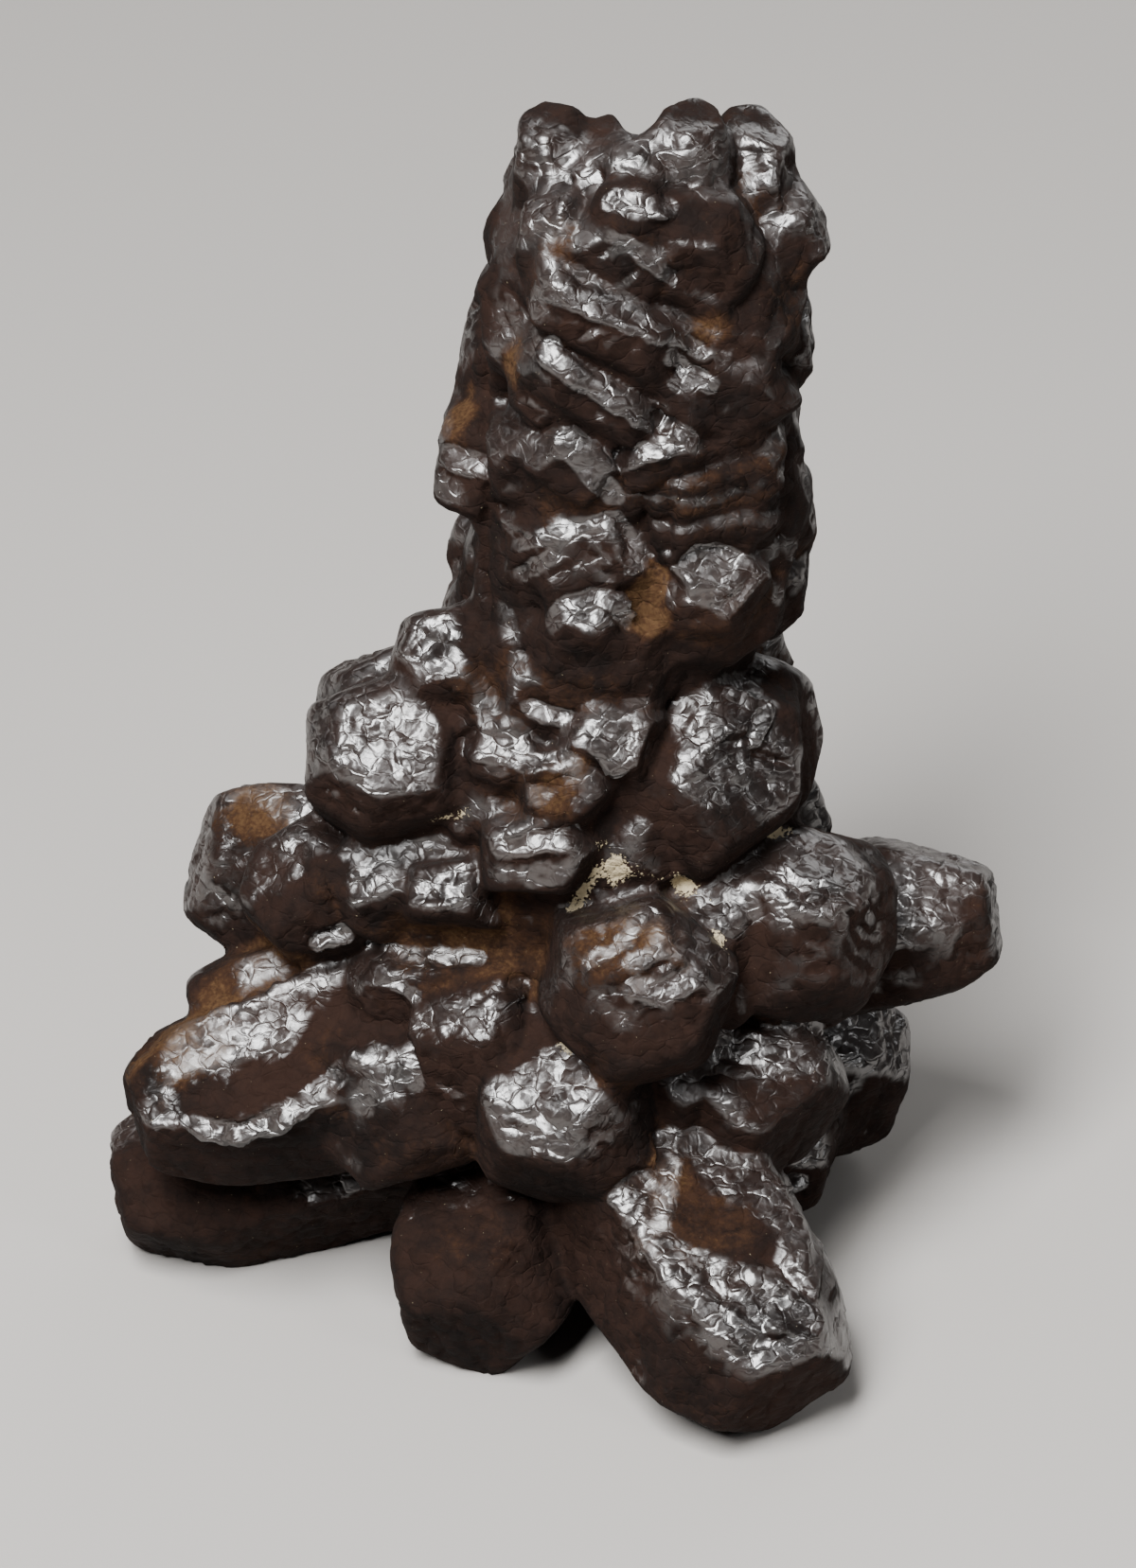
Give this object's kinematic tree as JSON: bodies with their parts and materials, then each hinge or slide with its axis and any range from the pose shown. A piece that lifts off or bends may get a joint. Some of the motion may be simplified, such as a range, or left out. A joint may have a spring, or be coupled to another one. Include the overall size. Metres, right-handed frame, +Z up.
{
  "type": "iron oxide concretion",
  "caption": "Natural iron oxide concretion: a knobbly stalk of fused crystal blocks standing on a spreading star of larger blunt crystals.",
  "frame": {"origin": "middle of the stone's plan, at the level of the surface that its feet rest on", "axes": "+Z up along the stalk, +X to the right and +Y to the back as the stone is seen in the picture"},
  "size_m": [0.047, 0.0428, 0.0641],
  "materials": {
    "iron_oxide": "dull gloss, near-black brown with rust-brown patches"
  },
  "bodies": {
    "root": {"concretion": "iron_oxide"}
  },
  "joints": []
}
